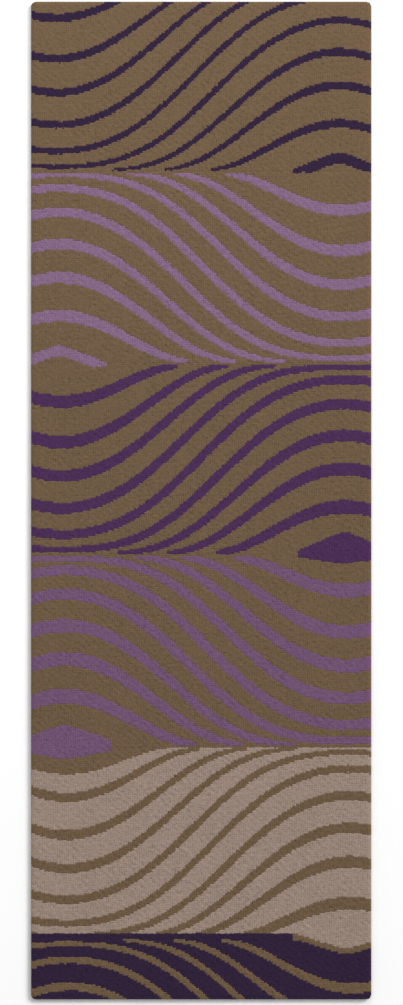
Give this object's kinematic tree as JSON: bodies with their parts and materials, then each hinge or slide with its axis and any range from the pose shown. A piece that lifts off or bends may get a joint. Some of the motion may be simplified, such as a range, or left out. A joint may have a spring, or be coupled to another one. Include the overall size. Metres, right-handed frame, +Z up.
{
  "type": "hallway runner rug",
  "caption": "Long narrow cut-pile runner rug with bands of wavy stripes, tufted through cloth and lined with canvas, with taped edges underneath.",
  "frame": {"origin": "centre of the underside, on the floor", "axes": "+X across the rug's width, +Y along its length towards the end with the first band, +Z up out of the pile"},
  "size_m": [0.8, 2.35, 0.012],
  "materials": {
    "brown_pile": "dense cut pile, matt, each tuft standing alone",
    "aubergine_pile": "dense cut pile, matt, each tuft standing alone",
    "mauve_pile": "dense cut pile, matt, each tuft standing alone",
    "purple_pile": "dense cut pile, matt, each tuft standing alone",
    "plum_pile": "dense cut pile, matt, each tuft standing alone",
    "taupe_pile": "dense cut pile, matt, each tuft standing alone",
    "tufting_cloth": "plain woven, matt",
    "latex": "matt, slightly uneven",
    "canvas": "coarse plain weave, unbleached, matt",
    "edge_tape": "twill woven tape, matt",
    "sewing_thread": "twisted thread, satin"
  },
  "bodies": {
    "root": {"band_1_ground_pile": "brown_pile", "band_1_aubergine_stripes": "aubergine_pile", "band_2_ground_pile": "brown_pile", "band_2_mauve_stripes": "mauve_pile", "band_3_ground_pile": "brown_pile", "band_3_purple_stripes": "purple_pile", "band_4_ground_pile": "brown_pile", "band_4_plum_stripes": "plum_pile", "band_5_brown_lines": "brown_pile", "band_5_taupe_field": "taupe_pile", "band_6_brown_lines": "brown_pile", "band_6_aubergine_field": "aubergine_pile", "tufting_cloth": "tufting_cloth", "latex_coat": "latex", "canvas_lining": "canvas", "edge_tape_left": "edge_tape", "edge_tape_right": "edge_tape", "edge_tape_top": "edge_tape", "edge_tape_bottom": "edge_tape", "tape_seam_left": "sewing_thread", "tape_seam_right": "sewing_thread", "tape_seam_top": "sewing_thread", "tape_seam_bottom": "sewing_thread"}
  },
  "joints": []
}
